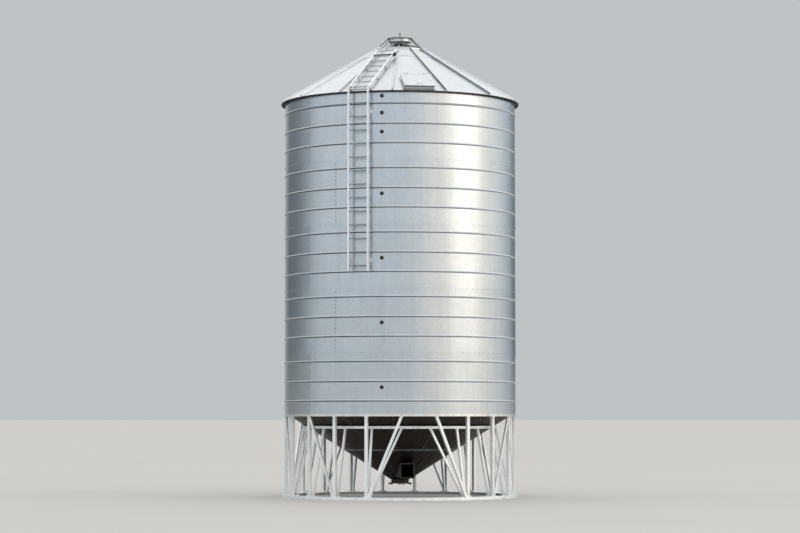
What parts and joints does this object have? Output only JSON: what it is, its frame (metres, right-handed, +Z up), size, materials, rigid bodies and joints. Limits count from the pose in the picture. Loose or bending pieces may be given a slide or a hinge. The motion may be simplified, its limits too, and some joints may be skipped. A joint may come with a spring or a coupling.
{
  "type": "grain silo",
  "caption": "Round galvanised grain silo with a hopper bottom on a ring of slim legs, a low cone roof with a hinged filling lid and roof hatch, and wall and roof ladders.",
  "frame": {"origin": "centre of the base ring on the ground", "axes": "+Z up along the silo's centre line, -Y towards the auger bay and roof hatch"},
  "size_m": [5.48, 5.48, 10.7283],
  "materials": {
    "leg_steel": "hot-dip galvanised, matt",
    "wall_sheet": "galvanised sheet, bright",
    "bright_steel": "galvanised, bright",
    "roof_sheet": "galvanised sheet, satin",
    "hopper_sheet": "galvanised sheet, dull",
    "dark_steel": "matt black",
    "window_glass": "dark glazing in a rubber ring"
  },
  "bodies": {
    "silo": {"base_ring": "leg_steel", "hopper_ring_beam": "leg_steel", "leg_bay_left": "leg_steel", "leg_bay_right": "leg_steel", "leg_back": "leg_steel", "leg_pair_left_1": "leg_steel", "leg_pair_left_2": "leg_steel", "leg_pair_left_3": "leg_steel", "leg_pair_left_4": "leg_steel", "leg_pair_right_1": "leg_steel", "leg_pair_right_2": "leg_steel", "leg_pair_right_3": "leg_steel", "leg_pair_right_4": "leg_steel", "wall_course_1_sheet_1": "wall_sheet", "wall_course_1_sheet_2": "wall_sheet", "wall_course_1_sheet_3": "wall_sheet", "wall_course_2_sheet_1": "wall_sheet", "wall_course_2_sheet_2": "wall_sheet", "wall_course_2_sheet_3": "wall_sheet", "wall_course_3_sheet_1": "wall_sheet", "wall_course_3_sheet_2": "wall_sheet", "wall_course_3_sheet_3": "wall_sheet", "wall_course_4_sheet_1": "wall_sheet", "wall_course_4_sheet_2": "wall_sheet", "wall_course_4_sheet_3": "wall_sheet", "wall_course_5_sheet_1": "wall_sheet", "wall_course_5_sheet_2": "wall_sheet", "wall_course_5_sheet_3": "wall_sheet", "bottom_rim": "bright_steel", "wall_ladder": "bright_steel", "roof_ladder": "bright_steel", "lid_guard": "bright_steel", "roof_sheets": "roof_sheet", "roof_cap": "roof_sheet", "hatch_frame": "roof_sheet", "hopper_upper": "hopper_sheet", "hopper_lower": "hopper_sheet", "outlet_boot": "dark_steel", "outlet_gate": "dark_steel", "fill_collar": "dark_steel", "rope_guide": "dark_steel", "sight_window_1": "window_glass", "sight_window_2": "window_glass", "sight_window_3": "window_glass", "sight_window_4": "window_glass", "sight_window_5": "window_glass", "sight_window_6": "window_glass", "sight_window_7": "window_glass"},
    "filling_lid": {"fill_lid": "bright_steel"},
    "roof_hatch_lid": {"hatch_lid": "roof_sheet"}
  },
  "joints": [
    {"name": "filling_lid_hinge", "type": "hinge", "parent": "silo", "child": "filling_lid", "pos_m": [0, 0.346, 10.59], "axis": [-1, 0, 0], "range_deg": [0, 105]},
    {"name": "roof_hatch_hinge", "type": "hinge", "parent": "silo", "child": "roof_hatch_lid", "pos_m": [0, -2.09823, 9.49828], "axis": [-1, 0, 0], "range_deg": [0, 110]}
  ]
}
